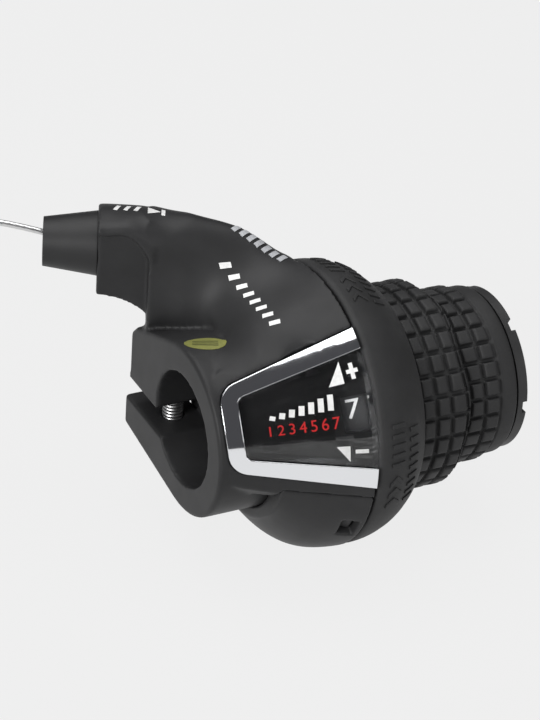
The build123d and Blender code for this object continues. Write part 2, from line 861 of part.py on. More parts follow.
# Drum that takes up the wire, with detent notches and pockets for the sleeve's dogs
with BuildPart() as take_up_drum:
    with BuildSketch(Plane.YZ.offset(drum_x)):
        Circle(drum_r)
        Circle(run_bore_r, mode=Mode.SUBTRACT)
    extrude(amount=drum_end_x - drum_x)
    with BuildSketch(Plane.YZ.offset(groove_x - groove_w / 2)):
        Circle(drum_r + past)
        Circle(wrap_r - wire_r - groove_room, mode=Mode.SUBTRACT)
    extrude(amount=groove_w, mode=Mode.SUBTRACT)
    for click in range(click_count + 1):
        with BuildSketch(dial_section(notch_x, spring_dial + click * click_deg)):
            with Locations((0, drum_r)):
                Circle(notch_r)
        extrude(amount=drum_end_x - notch_x, mode=Mode.SUBTRACT)
    with Locations((groove_x, -wrap_r, nipple_room)):
        Cylinder(
            nipple_r + nipple_room,
            nipple_len + 2 * nipple_room,
            align=(Align.CENTER, Align.CENTER, Align.MAX),
            mode=Mode.SUBTRACT,
        )
    with BuildSketch(Plane.YZ.offset(drum_end_x - dog_len - dog_room)):
        with PolarLocations(dog_r, dog_count):
            Rectangle(dog_h + 2 * dog_room, dog_w + 2 * dog_room)
    extrude(amount=dog_len + dog_room, mode=Mode.SUBTRACT)
take_up_drum.part.label = "take_up_drum"
export_step(take_up_drum.part, "parts/take_up_drum.step")

# Sleeve under the rubber, turning on the tube
with BuildPart() as grip_sleeve:
    revolve(
        outline(Plane.XZ, [
            (drum_end_x, run_bore_r),
            (rubber_end_x, run_bore_r),
            (rubber_end_x, tail_r),
            (core_end_x, tail_r),
            (core_end_x, core_r),
            (flange_x + flange_t, core_r),
            (flange_x + flange_t, flange_r),
            (flange_x, flange_r),
            (flange_x, hub_r),
            (drum_end_x, hub_r),
        ]),
        axis=Axis.X,
    )
    with BuildSketch(Plane.YZ.offset(drum_end_x - dog_len)):
        with PolarLocations(dog_r, dog_count):
            Rectangle(dog_h, dog_w)
    extrude(amount=dog_len)
grip_sleeve.part.label = "grip_sleeve"
export_step(grip_sleeve.part, "parts/grip_sleeve.step")

# Number ring behind the display window, on the sleeve's hub
with BuildPart() as indicator_ring:
    number_below = shell_wall + number_gap
    revolve(
        cone_strip(number_x, flange_x, -number_below, number_below + number_t, 0),
        axis=Axis.X,
    )
    revolve(
        outline(Plane.XZ, [
            (number_x, hub_r + web_fit),
            (number_x + web_t, hub_r + web_fit),
            (number_x + web_t, cone_r(number_x + web_t) - number_below - number_t / 2),
            (number_x, cone_r(number_x) - number_below - number_t / 2),
        ]),
        axis=Axis.X,
    )
indicator_ring.part.label = "indicator_ring"
export_step(indicator_ring.part, "parts/indicator_ring.step")

# Wire end piece in the drum
with BuildPart() as cable_nipple:
    with Locations((groove_x, -wrap_r, 0)):
        Cylinder(nipple_r, nipple_len, align=(Align.CENTER, Align.CENTER, Align.MAX))
cable_nipple.part.label = "cable_nipple"
export_step(cable_nipple.part, "parts/cable_nipple.step")

# Wire on the drum, from its end piece to where it leaves the groove
with BuildPart() as cable_wrap:
    with BuildLine(Plane.YZ.offset(groove_x)) as wrap_path:
        CenterArc((0, 0), wrap_r, wrap_start, quarter_turn + exit_turn - wrap_start)
    with BuildSketch(Plane(origin=wrap_path.line @ 0, z_dir=wrap_path.line % 0)):
        Circle(wire_r)
    sweep()
cable_wrap.part.label = "cable_wrap"
export_step(cable_wrap.part, "parts/cable_wrap.step")

# Wire through the body and the outlet
with BuildPart() as cable_lead:
    with BuildLine() as lead_path:
        FilletPolyline(*lead_points, radius=lead_radii)
    with BuildSketch(Plane(origin=lead_path.line @ 0, z_dir=lead_path.line % 0)):
        Circle(wire_r)
    sweep()
cable_lead.part.label = "cable_lead"
export_step(cable_lead.part, "parts/cable_lead.step")

# Rubber cover: a smooth collar, then rows of blocks that step down to the end band
tread_pitch = (waist_x - collar_end_x) / tread_columns
tail_pitch = (band_x - waist_end_x) / tail_columns
tread_profile = []
for column in range(tread_columns):
    column_x = collar_end_x + column * tread_pitch
    tread_profile += [
        (column_x, tread_r - tread_depth),
        (column_x + tread_gap, tread_r - tread_depth),
        (column_x + tread_gap, tread_r),
        (column_x + tread_pitch, tread_r),
    ]
tread_profile += [
    (waist_x, tread_r - tread_depth),
    (waist_x + tread_gap, tread_r - tread_depth),
    (waist_x + tread_gap, tread_r),
]
for column in range(tail_columns):
    column_x = waist_end_x + column * tail_pitch
    tread_profile += [
        (column_x - tread_gap, waist_r),
        (column_x - tread_gap, waist_r - tread_depth),
        (column_x, waist_r - tread_depth),
        (column_x, waist_r),
    ]

with BuildPart() as grip_cover:
    with BuildSketch(Plane.XZ):
        with BuildLine():
            Polyline(
                (rubber_end_x, tail_r + rubber_fit),
                (core_end_x + rubber_fit, tail_r + rubber_fit),
                (core_end_x + rubber_fit, core_r + rubber_fit),
                (flange_x + flange_t + rubber_fit, core_r + rubber_fit),
                (flange_x + flange_t + rubber_fit, flange_r + rubber_fit),
                (collar_x, flange_r + rubber_fit),
                (collar_x, collar_face_r),
                (collar_face_x, collar_r),
            )
            ThreePointArc(
                (collar_face_x, collar_r),
                (collar_bulge_x, collar_bulge_r),
                (collar_end_x, collar_end_r),
            )
            Polyline(
                (collar_end_x, collar_end_r),
                *tread_profile,
                (band_x, waist_r),
                (band_x, band_r),
                (rubber_end_x - rubber_round, band_r),
                (rubber_end_x, band_r - rubber_round),
                (rubber_end_x, tail_r + rubber_fit),
            )
        make_face()
    revolve(axis=Axis.X)
    with BuildPart(mode=Mode.PRIVATE) as row_gap:
        with BuildSketch(Plane.XZ):
            with BuildLine():
                Polyline(
                    (collar_end_x, tread_r - tread_depth),
                    (waist_x + tread_gap, tread_r - tread_depth),
                    (waist_end_x, waist_r - tread_depth),
                    (band_x, waist_r - tread_depth),
                    (band_x, tread_r + past),
                    (collar_end_x, tread_r + past),
                    close=True,
                )
            make_face()
        extrude(amount=tread_gap / 2, both=True)
    for row in range(row_count):
        add(row_gap.part.rotate(Axis.X, row * full_turn / row_count), mode=Mode.SUBTRACT)
grip_cover.part.label = "grip_cover"
export_step(grip_cover.part, "parts/grip_cover.step")

# Free wire, from the outlet down to the coil
free_route = [wire_exit] + [Vector(*point) for point in free_points]
free_runs = [(after - before) for before, after in zip(free_route, free_route[1:])]
free_radii = [
    bend_share * min(one.length, two.length) / tan(radians(one.get_angle(two)) / 2)
    for one, two in zip(free_runs, free_runs[1:])
]
with BuildPart() as shift_cable:
    with BuildLine() as free_path:
        FilletPolyline(*free_route, radius=free_radii)
    with BuildSketch(Plane(origin=free_path.line @ 0, z_dir=free_path.line % 0)):
        Circle(wire_r)
    sweep()
shift_cable.part.label = "shift_cable"
export_step(shift_cable.part, "parts/shift_cable.step")
print("bend radii of the free wire", [round(radius, 1) for radius in free_radii])
free_length = free_path.wire().length
print("free wire", free_length, shift_cable.part.volume / (pi * wire_r ** 2))

# Tied coil, as the outer shape of its turns
coil_low = floor_z + coil_lift
with BuildPart() as cable_coil:
    with BuildSketch(Plane(origin=(coil_x, coil_y, coil_low), x_dir=(1, 0, 0), z_dir=(0, -1, 0))):
        with Locations((coil_mean_r, coil_side / 2)):
            RectangleRounded(coil_side, coil_side, coil_round)
    revolve(axis=Axis((coil_x, coil_y, coil_low), (0, 0, 1)))
cable_coil.part.label = "cable_coil"
export_step(cable_coil.part, "parts/cable_coil.step")

# Tie round the coil
tie_side = coil_side + 2 * tie_room
tie_way = (cos(radians(tie_turn)), sin(radians(tie_turn)), 0)
tie_centre = (
    coil_x + coil_mean_r * tie_way[0],
    coil_y + coil_mean_r * tie_way[1],
    coil_low + coil_side / 2,
)
with BuildPart() as cable_tie:
    with BuildSketch(Plane(origin=tie_centre, x_dir=tie_way, z_dir=(-tie_way[1], tie_way[0], 0))):
        RectangleRounded(tie_side + 2 * tie_t, tie_side + 2 * tie_t, tie_t + tie_room)
        Rectangle(tie_side, tie_side, mode=Mode.SUBTRACT)
    extrude(amount=tie_w / 2, both=True)
cable_tie.part.label = "cable_tie"
export_step(cable_tie.part, "parts/cable_tie.step")
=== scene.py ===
from math import cos, degrees, hypot, pi, radians, sin, sqrt

import bmesh
import bpy
import numpy as np
from mathutils import Matrix, Vector
from mathutils.bvhtree import BVHTree


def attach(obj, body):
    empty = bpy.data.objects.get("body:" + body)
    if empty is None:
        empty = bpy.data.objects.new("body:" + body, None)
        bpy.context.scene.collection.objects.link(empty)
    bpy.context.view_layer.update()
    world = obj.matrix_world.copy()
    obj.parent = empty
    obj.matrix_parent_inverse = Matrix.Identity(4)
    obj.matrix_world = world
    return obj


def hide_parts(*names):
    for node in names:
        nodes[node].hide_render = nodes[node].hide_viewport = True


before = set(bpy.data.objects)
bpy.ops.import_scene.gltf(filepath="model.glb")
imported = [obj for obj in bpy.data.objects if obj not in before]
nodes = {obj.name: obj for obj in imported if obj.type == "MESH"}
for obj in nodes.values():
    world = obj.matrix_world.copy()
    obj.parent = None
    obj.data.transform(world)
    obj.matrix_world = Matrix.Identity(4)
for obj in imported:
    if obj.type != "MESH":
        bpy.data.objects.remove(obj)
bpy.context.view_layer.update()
scene = bpy.context.scene
MM = 0.001

# Camera at the photograph's viewing angle: eye point in metres, and directions fitted to the photograph
EYE = (-0.182420, -0.367471, 0.260688)
EYE_BACK = (-0.4107, -0.7546, 0.5119)
EYE_UP = (0.1797, 0.4834, 0.8568)
FOCAL_MM = 130.87
SENSOR_MM = 36.0


def make_camera():
    data = bpy.data.cameras.new("camera")
    data.sensor_fit = "AUTO"
    data.sensor_width = SENSOR_MM
    data.lens = FOCAL_MM
    data.clip_start = 0.01
    data.clip_end = 20.0
    camera = bpy.data.objects.new("camera", data)
    scene.collection.objects.link(camera)
    back = Vector(EYE_BACK).normalized()
    right = Vector(EYE_UP).cross(back).normalized()
    up = back.cross(right)
    turn = Matrix((right, up, back)).transposed().to_4x4()
    camera.matrix_world = Matrix.Translation(EYE) @ turn
    scene.camera = camera


make_camera()

# Shift wire in millimetres: the free run from the outlet, then the turns of the tied coil
WIRE_D = 1.2
EXIT = (-15.118, 32.048, 28.1)
ROUTE = [
    EXIT,
    (-22.06, 35.14, 30.0),
    (-29.37, 38.39, 30.3),
    (-34.12, 40.51, 24.5),
    (-36.49, 41.57, 15.0),
    (-36.95, 41.77, 4.0),
    (-38.50, 42.46, -6.5),
    (-41.61, 43.84, -15.0),
    (-47.09, 46.28, -19.3),
    (-53.49, 49.13, -20.1),
]
COIL_AXIS = (-57.9, 39.3)
COIL_START_DEG = 96.0
COIL_OUT = 13.2
COIL_IN = 8.4
COIL_LAYERS = 5
COIL_TOP = -21.4
TURN_STEPS = 18

# Radius and height of the points that come down over the top layer into its outer place
COIL_LEAD = [
    (10.9, -20.2),
    (11.3, -20.2),
    (11.7, -20.2),
    (12.1, -20.2),
    (12.65, -20.36),
    (13.05, -20.8),
]
LEAD_STEP = -1

# Steps of a turn at which the wire shifts one place and drops one layer
SHIFT_DROP_INWARD = (1, 12)
SHIFT_DROP_OUTWARD = (10, 3)


def coil_points():
    """Control points of the coil's turns, layer by layer from the top, shifting one place a turn."""
    points = []
    reach = 1 / cos(pi / TURN_STEPS)
    places = round((COIL_OUT - COIL_IN) / WIRE_D)

    def put(step, radius, height):
        angle = radians(COIL_START_DEG) + 2 * pi * step / TURN_STEPS
        x = COIL_AXIS[0] + radius * reach * cos(angle)
        y = COIL_AXIS[1] + radius * reach * sin(angle)
        points.append((x, y, height))

    for step, (radius, height) in enumerate(COIL_LEAD, LEAD_STEP):
        put(step, radius, height)
    step = LEAD_STEP + len(COIL_LEAD)
    for layer in range(COIL_LAYERS):
        height = COIL_TOP - layer * WIRE_D
        inward = layer % 2 == 0
        way = -1 if inward else 1
        radius = COIL_OUT if inward else COIL_IN
        shift_step, drop_step = SHIFT_DROP_INWARD if inward else SHIFT_DROP_OUTWARD
        place = 0
        for _ in range((places + 2) * TURN_STEPS):
            phase = step % TURN_STEPS
            if place == places and phase == drop_step:
                break
            if place < places and phase == shift_step:
                put(step, radius + way * WIRE_D / 2, height)
                radius += way * WIRE_D
                place += 1
            else:
                put(step, radius, height)
            step += 1
        if layer < COIL_LAYERS - 1:
            put(step, radius, height - WIRE_D / 2)
        step += 1
    return points


def make_cord():
    curve = bpy.data.curves.new("shift_wire", "CURVE")
    curve.dimensions = "3D"
    curve.resolution_u = 4
    # The bevel is in millimetres, and each point's radius brings it to metres
    curve.bevel_depth = WIRE_D / 2
    curve.bevel_resolution = 3
    curve.use_fill_caps = True
    spline = curve.splines.new("NURBS")
    route = ROUTE + coil_points()
    spline.points.add(len(route) - 1)
    for point, place in zip(spline.points, route):
        point.co = (place[0] * MM, place[1] * MM, place[2] * MM, 1)
        point.radius = MM
    spline.order_u = 3
    spline.use_endpoint_u = True
    wire = bpy.data.objects.new("shift_wire", curve)
    scene.collection.objects.link(wire)
    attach(wire, "housing")
    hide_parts("shift_cable", "cable_coil")
    return wire


wire = make_cord()

# Materials: textures follow the part's own frame, and the heights of their relief are in metres
TONE_SCALE = 90.0
GLOSS_SCALE = 260.0
GRAIN_HEIGHT = 0.00006
POLISH_RELIEF = 0.04
POLISH_HEIGHT = 0.00004
INK_SCALE = 1400.0
INK_GLOSS_SCALE = 900.0
INK_DARK = 0.86
INK_ROUGH_SPREAD = 0.06
RAMP_LOW = 0.35
RAMP_HIGH = 0.65
NOISE_ROUGHNESS = 0.55
EDGE_SAMPLES = 6
BLUE_TINGE = 1.03


def material(name):
    made = bpy.data.materials.new(name)
    made.use_nodes = True
    tree = made.node_tree
    return made, tree, tree.nodes["Principled BSDF"]


def grey(value):
    """A grey with a faint blue tinge."""
    return (value, value, value * BLUE_TINGE, 1)


def noise(tree, scale, detail=3.0):
    """Noise from 0 to 1, fixed to the piece."""
    place = tree.nodes.new("ShaderNodeTexCoord")
    made = tree.nodes.new("ShaderNodeTexNoise")
    made.inputs["Scale"].default_value = scale
    made.inputs["Detail"].default_value = detail
    made.inputs["Roughness"].default_value = NOISE_ROUGHNESS
    tree.links.new(place.outputs["Object"], made.inputs["Vector"])
    return made.outputs["Fac"]


def wave(tree, scale, direction):
    """Even ridges from 0 to 1, fixed to the piece."""
    place = tree.nodes.new("ShaderNodeTexCoord")
    made = tree.nodes.new("ShaderNodeTexWave")
    made.bands_direction = direction
    made.inputs["Scale"].default_value = scale
    tree.links.new(place.outputs["Object"], made.inputs["Vector"])
    return made.outputs["Fac"]


def vary_colour(tree, shader, source, dark, light):
    """Base colour that drifts between two tones."""
    made = tree.nodes.new("ShaderNodeValToRGB")
    low, high = made.color_ramp.elements
    low.position = RAMP_LOW
    high.position = RAMP_HIGH
    low.color = dark
    high.color = light
    tree.links.new(source, made.inputs["Fac"])
    tree.links.new(made.outputs["Color"], shader.inputs["Base Color"])


def vary_roughness(tree, shader, source, low, high):
    """Roughness that drifts between two values."""
    made = tree.nodes.new("ShaderNodeMapRange")
    made.inputs["To Min"].default_value = low
    made.inputs["To Max"].default_value = high
    tree.links.new(source, made.inputs["Value"])
    tree.links.new(made.outputs["Result"], shader.inputs["Roughness"])


def rounded_edges(tree, round_mm):
    """Normal with the edges rounded off, or none for a radius of 0."""
    if not round_mm:
        return None
    made = tree.nodes.new("ShaderNodeBevel")
    made.samples = EDGE_SAMPLES
    made.inputs["Radius"].default_value = round_mm * MM
    return made.outputs["Normal"]


def add_bump(tree, shader, source, strength, height, start=None):
    """Fine relief, over another normal if there is one."""
    made = tree.nodes.new("ShaderNodeBump")
    made.inputs["Strength"].default_value = strength
    made.inputs["Distance"].default_value = height
    tree.links.new(source, made.inputs["Height"])
    if start is not None:
        tree.links.new(start, made.inputs["Normal"])
    tree.links.new(made.outputs["Normal"], shader.inputs["Normal"])


def moulded(name, tones, rough, grain, relief, round_mm=0.0, gloss=0.5):
    """Moulded plastic or rubber: fine grain, a faint drift of tone and uneven roughness."""
    made, tree, shader = material(name)
    shader.inputs["Specular IOR Level"].default_value = gloss
    dark, light = [grey(tone) for tone in tones]
    vary_colour(tree, shader, noise(tree, TONE_SCALE, detail=4.0), dark, light)
    vary_roughness(tree, shader, noise(tree, GLOSS_SCALE, detail=2.0), *rough)
    edges = rounded_edges(tree, round_mm)
    add_bump(tree, shader, noise(tree, grain, detail=2.0), relief, GRAIN_HEIGHT, edges)
    return made


def metal(name, tint, rough, scale):
    """Bare metal with uneven roughness, and the tree and shader that its relief is added to."""
    made, tree, shader = material(name)
    shader.inputs["Metallic"].default_value = 1.0
    shader.inputs["Base Color"].default_value = tint
    vary_roughness(tree, shader, noise(tree, scale), *rough)
    return made, tree, shader


def smooth_metal(name, tint, rough, scale, round_mm):
    made, tree, shader = metal(name, tint, rough, scale)
    edges = rounded_edges(tree, round_mm)
    add_bump(tree, shader, noise(tree, scale, detail=2.0), POLISH_RELIEF, POLISH_HEIGHT, edges)
    return made


def ridged_metal(name, tint, rough, scale, ridge_scale, direction, relief, height):
    """Metal with fine ridges, such as the strands of a wire or a thread."""
    made, tree, shader = metal(name, tint, rough, scale)
    add_bump(tree, shader, wave(tree, ridge_scale, direction), relief, height)
    return made


def clear_plastic(name):
    """Clear plastic that casts no shadow. It bends light little, and a coat gives its gloss."""
    made, tree, shader = material(name)
    shader.inputs["Base Color"].default_value = (0.95, 0.96, 0.97, 1)
    shader.inputs["Transmission Weight"].default_value = 1.0
    shader.inputs["IOR"].default_value = 1.12
    shader.inputs["Coat Weight"].default_value = 1.0
    shader.inputs["Coat Roughness"].default_value = 0.03
    vary_roughness(tree, shader, noise(tree, 500.0), 0.02, 0.04)
    path = tree.nodes.new("ShaderNodeLightPath")
    unshaded = tree.nodes.new("ShaderNodeBsdfTransparent")
    mix = tree.nodes.new("ShaderNodeMixShader")
    tree.links.new(path.outputs["Is Shadow Ray"], mix.inputs["Fac"])
    tree.links.new(shader.outputs["BSDF"], mix.inputs[1])
    tree.links.new(unshaded.outputs["BSDF"], mix.inputs[2])
    tree.links.new(mix.outputs["Shader"], tree.nodes["Material Output"].inputs["Surface"])
    return made


def print_ink(name, tint, rough):
    made, tree, shader = material(name)
    light = tint + (1,)
    dark = tuple(INK_DARK * value for value in tint) + (1,)
    vary_colour(tree, shader, noise(tree, INK_SCALE), dark, light)
    gloss = noise(tree, INK_GLOSS_SCALE)
    vary_roughness(tree, shader, gloss, rough - INK_ROUGH_SPREAD, rough + INK_ROUGH_SPREAD)
    return made


body_plastic = moulded(
    "body_plastic", tones=(0.022, 0.029), rough=(0.44, 0.54), grain=5200.0, relief=0.25, gloss=0.25
)
outlet_plastic = moulded(
    "outlet_plastic",
    tones=(0.014, 0.019),
    rough=(0.45, 0.55),
    grain=5200.0,
    relief=0.25,
    round_mm=0.25,
    gloss=0.35,
)
inner_plastic = moulded(
    "inner_plastic", tones=(0.016, 0.024), rough=(0.45, 0.60), grain=4000.0, relief=0.25, round_mm=0.2
)
tie_plastic = moulded("tie_plastic", tones=(0.02, 0.03), rough=(0.40, 0.55), grain=4000.0, relief=0.2)
plate_black = moulded(
    "plate_black", tones=(0.0025, 0.0035), rough=(0.34, 0.42), grain=5200.0, relief=0.1, gloss=0.2
)
rubber = moulded("rubber", tones=(0.013, 0.022), rough=(0.60, 0.74), grain=3800.0, relief=0.5)
chrome = smooth_metal("chrome", tint=(0.83, 0.84, 0.86, 1), rough=(0.03, 0.08), scale=700.0, round_mm=0.3)
steel = smooth_metal("steel", tint=(0.60, 0.60, 0.61, 1), rough=(0.22, 0.34), scale=900.0, round_mm=0.2)
wire_steel = ridged_metal(
    "wire_steel",
    tint=(0.66, 0.66, 0.66, 1),
    rough=(0.25, 0.40),
    scale=1500.0,
    ridge_scale=1400.0,
    direction="DIAGONAL",
    relief=0.2,
    height=0.00003,
)
thread_steel = ridged_metal(
    "thread_steel",
    tint=(0.72, 0.72, 0.72, 1),
    rough=(0.34, 0.46),
    scale=900.0,
    ridge_scale=450.0,
    direction="Z",
    relief=0.8,
    height=0.00025,
)
lens_clear = clear_plastic("lens_clear")
white_ink = print_ink("white_ink", tint=(0.84, 0.84, 0.83), rough=0.45)
red_ink = print_ink("red_ink", tint=(0.55, 0.012, 0.012), rough=0.42)
silver_ink = print_ink("silver_ink", tint=(0.52, 0.53, 0.55), rough=0.30)
lime_ink = print_ink("lime_ink", tint=(0.22, 0.225, 0.06), rough=0.40)
olive_ink = print_ink("olive_ink", tint=(0.07, 0.075, 0.02), rough=0.45)

NODE_LOOKS = {
    "housing": body_plastic,
    "lower_cover": body_plastic,
    "display_bezel": chrome,
    "display_lens": lens_clear,
    "display_plate": plate_black,
    "cable_outlet": outlet_plastic,
    "clamp_bolt": thread_steel,
    "clamp_nut": steel,
    "bar_tube": inner_plastic,
    "end_ring": inner_plastic,
    "thrust_washer": inner_plastic,
    "detent_spring": steel,
    "cable_lead": wire_steel,
    "cable_tie": tie_plastic,
    "grip_sleeve": inner_plastic,
    "grip_cover": rubber,
    "take_up_drum": inner_plastic,
    "indicator_ring": inner_plastic,
    "cable_nipple": steel,
    "cable_wrap": wire_steel,
}
for name, look in NODE_LOOKS.items():
    nodes[name].data.materials.clear()
    nodes[name].data.materials.append(look)
wire.data.materials.append(wire_steel)

# Shapes of the part that the pieces follow, in millimetres: the display cone from its start to its rim
RIM_X = 26.7
RIM_R = 27.5
CONE_START_X = 3.0
CONE_START_R = 17.2
CONE_SLOPE = (RIM_R - CONE_START_R) / (RIM_X - CONE_START_X)


def cone_r(x):
    return RIM_R - CONE_SLOPE * (RIM_X - x)


def turned(x, radius, dial):
    """Point at a dial angle, measured about the bar from the rider's side upwards."""
    angle = radians(dial)
    return Vector((x, -radius * cos(angle), radius * sin(angle))) * MM


def add_object(name, mesh, body, look, smooth=True):
    made = bpy.data.objects.new(name, mesh)
    scene.collection.objects.link(made)
    mesh.materials.clear()
    mesh.materials.append(look)
    for face in mesh.polygons:
        face.use_smooth = smooth
    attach(made, body)
    return made


def final_mesh(holder):
    """Mesh of a scratch object with its modifiers applied. The object itself goes."""
    scene.collection.objects.link(holder)
    bpy.context.view_layer.update()
    mesh = bpy.data.meshes.new_from_object(holder.evaluated_get(bpy.context.evaluated_depsgraph_get()))
    bpy.data.objects.remove(holder)
    return mesh


# Flat shapes of marks, as lists of points in millimetres
def letters(text, size):
    """Faces of plain numbers, centred."""
    curve = bpy.data.curves.new("text", "FONT")
    curve.body = text
    curve.size = size
    curve.align_x = "CENTER"
    curve.align_y = "CENTER"
    mesh = final_mesh(bpy.data.objects.new("text", curve))
    return [[tuple(mesh.vertices[i].co.xy) for i in face.vertices] for face in mesh.polygons]


def bar(x0, y0, x1, y1, width):
    """Straight bar from one point to another, with square ends."""
    way = Vector((x1 - x0, y1 - y0)).normalized()
    side = Vector((-way.y, way.x)) * width / 2
    return [
        (x0 - side.x, y0 - side.y),
        (x1 - side.x, y1 - side.y),
        (x1 + side.x, y1 + side.y),
        (x0 + side.x, y0 + side.y),
    ]


def slanted_bars(count, pitch, foot, head, half, width):
    """Row of leaning bars: foot and head are the ends of the first one along the row."""
    return [bar(foot + pitch * i, -half, head + pitch * i, half, width) for i in range(count)]


def rungs(count, pitch, first, half, width):
    """Bars across a row, one after the other."""
    return [bar(-half, first + pitch * i, half, first + pitch * i, width) for i in range(count)]


def chevron(q, size, width):
    return [
        (-size, q),
        (-size, q + width),
        (0, q + size + width),
        (size, q + width),
        (size, q),
        (0, q + size),
    ]


def oval(half_long, half_short, count=40):
    turns = [2 * pi * i / count for i in range(count)]
    return [(half_long * cos(turn), half_short * sin(turn)) for turn in turns]


# Marks laid on a curved surface, in millimetres
MERGE = 0.001
LONGEST_EDGE = 0.7
SPLIT_ROUNDS = 5
SHARP_DEG = 50
PRINT_THICK = 0.03


def wrapped(name, shapes, place, thick, body, look, round_edge=0.0):
    """Thin raised shapes laid on a curved surface: place(p, q, up) says where a flat point goes."""
    form = bmesh.new()
    for shape in shapes:
        form.faces.new([form.verts.new((p, q, 0)) for p, q in shape])
    bmesh.ops.remove_doubles(form, verts=form.verts, dist=MERGE)
    bmesh.ops.triangulate(form, faces=form.faces)
    for _ in range(SPLIT_ROUNDS):
        long_edges = [edge for edge in form.edges if edge.calc_length() > LONGEST_EDGE]
        if not long_edges:
            break
        bmesh.ops.subdivide_edges(form, edges=long_edges, cuts=1)
        bmesh.ops.triangulate(form, faces=form.faces)
    bmesh.ops.recalc_face_normals(form, faces=form.faces)
    for face in form.faces:
        if face.normal.z < 0:
            face.normal_flip()
    raised = bmesh.ops.extrude_face_region(form, geom=form.faces[:])
    for part in raised["geom"]:
        if isinstance(part, bmesh.types.BMVert):
            part.co.z = thick
    bmesh.ops.recalc_face_normals(form, faces=form.faces)
    for vert in form.verts:
        vert.co = place(vert.co.x, vert.co.y, vert.co.z)
    mesh = bpy.data.meshes.new(name)
    form.to_mesh(mesh)
    form.free()
    made = add_object(name, mesh, body, look, smooth=False)
    if round_edge:
        edge = made.modifiers.new("round", "BEVEL")
        edge.width = round_edge * MM
        edge.segments = 2
        edge.limit_method = "ANGLE"
        edge.angle_limit = radians(SHARP_DEG)


def printed(name, shapes, place, ink, thick=PRINT_THICK):
    """Print on the housing or its lens."""
    wrapped(name, shapes, place, thick, "housing", ink)


# Numbers 7 to 1 on the ring behind the window, one click apart
GEARS = 7
CLICK = 14.0
GEAR_DIAL = 28.0
GEAR_SIZE = 5.2
GEAR_THICK = 0.05
RING_X = 24.7
RING_DEPTH = 4.4


def ring_r(x):
    return cone_r(x) - RING_DEPTH


def on_ring(dial0):
    """Places flat points on the number ring: p along the bar, q round it."""

    def place(p, q, up):
        x = RING_X + p
        return turned(x, ring_r(x) + up, dial0 + degrees(q / ring_r(RING_X)))

    return place


for gear in range(1, GEARS + 1):
    number = letters(str(gear), GEAR_SIZE)
    ring_place = on_ring(GEAR_DIAL + (GEARS - gear) * CLICK)
    wrapped("gear_number_%d" % gear, number, ring_place, GEAR_THICK, "grip", white_ink)

# Signs and scale printed on the lens: arrow and plus, arrow and minus, rising bars and the gear numbers
LENS_LIFT = 0.1
SIGN_W = 0.75
SCALE_X = 14.4
SCALE_PITCH = 1.8
SCALE_RISE = 0.3
ROW_PITCH = 2.0
ROW_SIZE = 2.9
MIDDLE_GEAR = (GEARS + 1) / 2


def on_cone(x0, dial0):
    """Places flat points on the lens over the display cone: p along it, q round it."""
    stretch = sqrt(1 + CONE_SLOPE ** 2)
    radius0 = cone_r(x0)

    def place(p, q, up):
        x = x0 + p / stretch
        return turned(x, cone_r(x) + LENS_LIFT + up, dial0 + degrees(q / radius0))

    return place


def scale_bar(step):
    """One bar of the scale. The bars lean a little and get longer."""
    along = SCALE_PITCH * step
    return bar(-5.4 + along, -1.3, -5.1 + along, -0.5 + SCALE_RISE * step, 1.05)


def row_number(gear):
    """Faces of a small gear number at its place in the row."""
    along = (gear - MIDDLE_GEAR) * ROW_PITCH
    return [[(p + along, q) for p, q in face] for face in letters(str(gear), ROW_SIZE)]


arrow_up = [(-1.45, -1.75), (1.45, -1.75), (1.45, 2.3)]
arrow_down = [(-1.3, 1.4), (1.2, 1.4), (1.2, -1.6)]
plus_across = bar(-1.05, 0, 1.05, 0, SIGN_W)
plus_below = bar(0, -1.5, 0, -SIGN_W / 2, SIGN_W)
plus_above = bar(0, SIGN_W / 2, 0, 1.5, SIGN_W)
minus = bar(-1.2, 0, 1.2, 0, SIGN_W)
scale_bars = [scale_bar(step) for step in range(GEARS)]
row_faces = [face for gear in range(1, GEARS + 1) for face in row_number(gear)]

printed("sign_up", [arrow_up], on_cone(x0=21.1, dial0=44.0), white_ink)
printed("sign_plus", [plus_across, plus_below, plus_above], on_cone(x0=24.15, dial0=44.2), white_ink)
printed("sign_down", [arrow_down], on_cone(x0=20.8, dial0=11.0), white_ink)
printed("sign_minus", [minus], on_cone(x0=23.85, dial0=11.8), white_ink)
printed("gear_scale", scale_bars, on_cone(x0=SCALE_X, dial0=33.6), white_ink)
printed("gear_row", row_faces, on_cone(x0=SCALE_X, dial0=24.4), red_ink)

# Moulded skins of the body and its lower cover: the solids with soft edges and blended joins
BODY_VOXEL = 0.38
COVER_VOXEL = 0.34
EASE_PASSES = 3
EASE = 0.5
SHELL_WALL = 2.2

# Places where the saddle, the cone and the lid blend: centre, reach of the full weight, reach of any weight
BLENDS = [
    ((7.5, -5.2, 17.2), 1.8, 4.6),
    ((11.2, 0.8, 20.2), 1.5, 3.8),
    ((10.8, 6.5, 20.4), 2.5, 5.5),
    ((12.5, -1.5, 22.0), 3.5, 7.5),
    ((16.5, -7.5, 22.5), 2.5, 6.0),
    ((21.0, 1.0, 25.0), 5.0, 10.0),
    ((23.5, 7.5, 25.5), 3.0, 7.5),
    ((21.0, -6.5, 25.0), 3.0, 6.5),
    ((5.5, 22.0, 32.5), 1.5, 5.0),
    ((2.7, 18.3, 31.7), 0.8, 3.0),
]
BLEND_PASSES = 480
BLEND_STOP_X = 25.9
BLEND_FADE = 1.2
INNER_X = 13.0

# The saddle's ridge line, how far it is raised along it, and the saddle that is eased after that
RIDGE = np.array([(3.0, 24.5, 33.6), (9.5, 21.0, 32.3), (17.5, 15.8, 29.8), (26.0, 8.0, 25.8)])
RIDGE_LIFT = [0.0, 1.1, 1.3, 0.3]
RIDGE_WIDTH = 5.0
SADDLE = ((15.0, 14.0, 28.5), 7.0, 13.0)
SADDLE_PASSES = 40

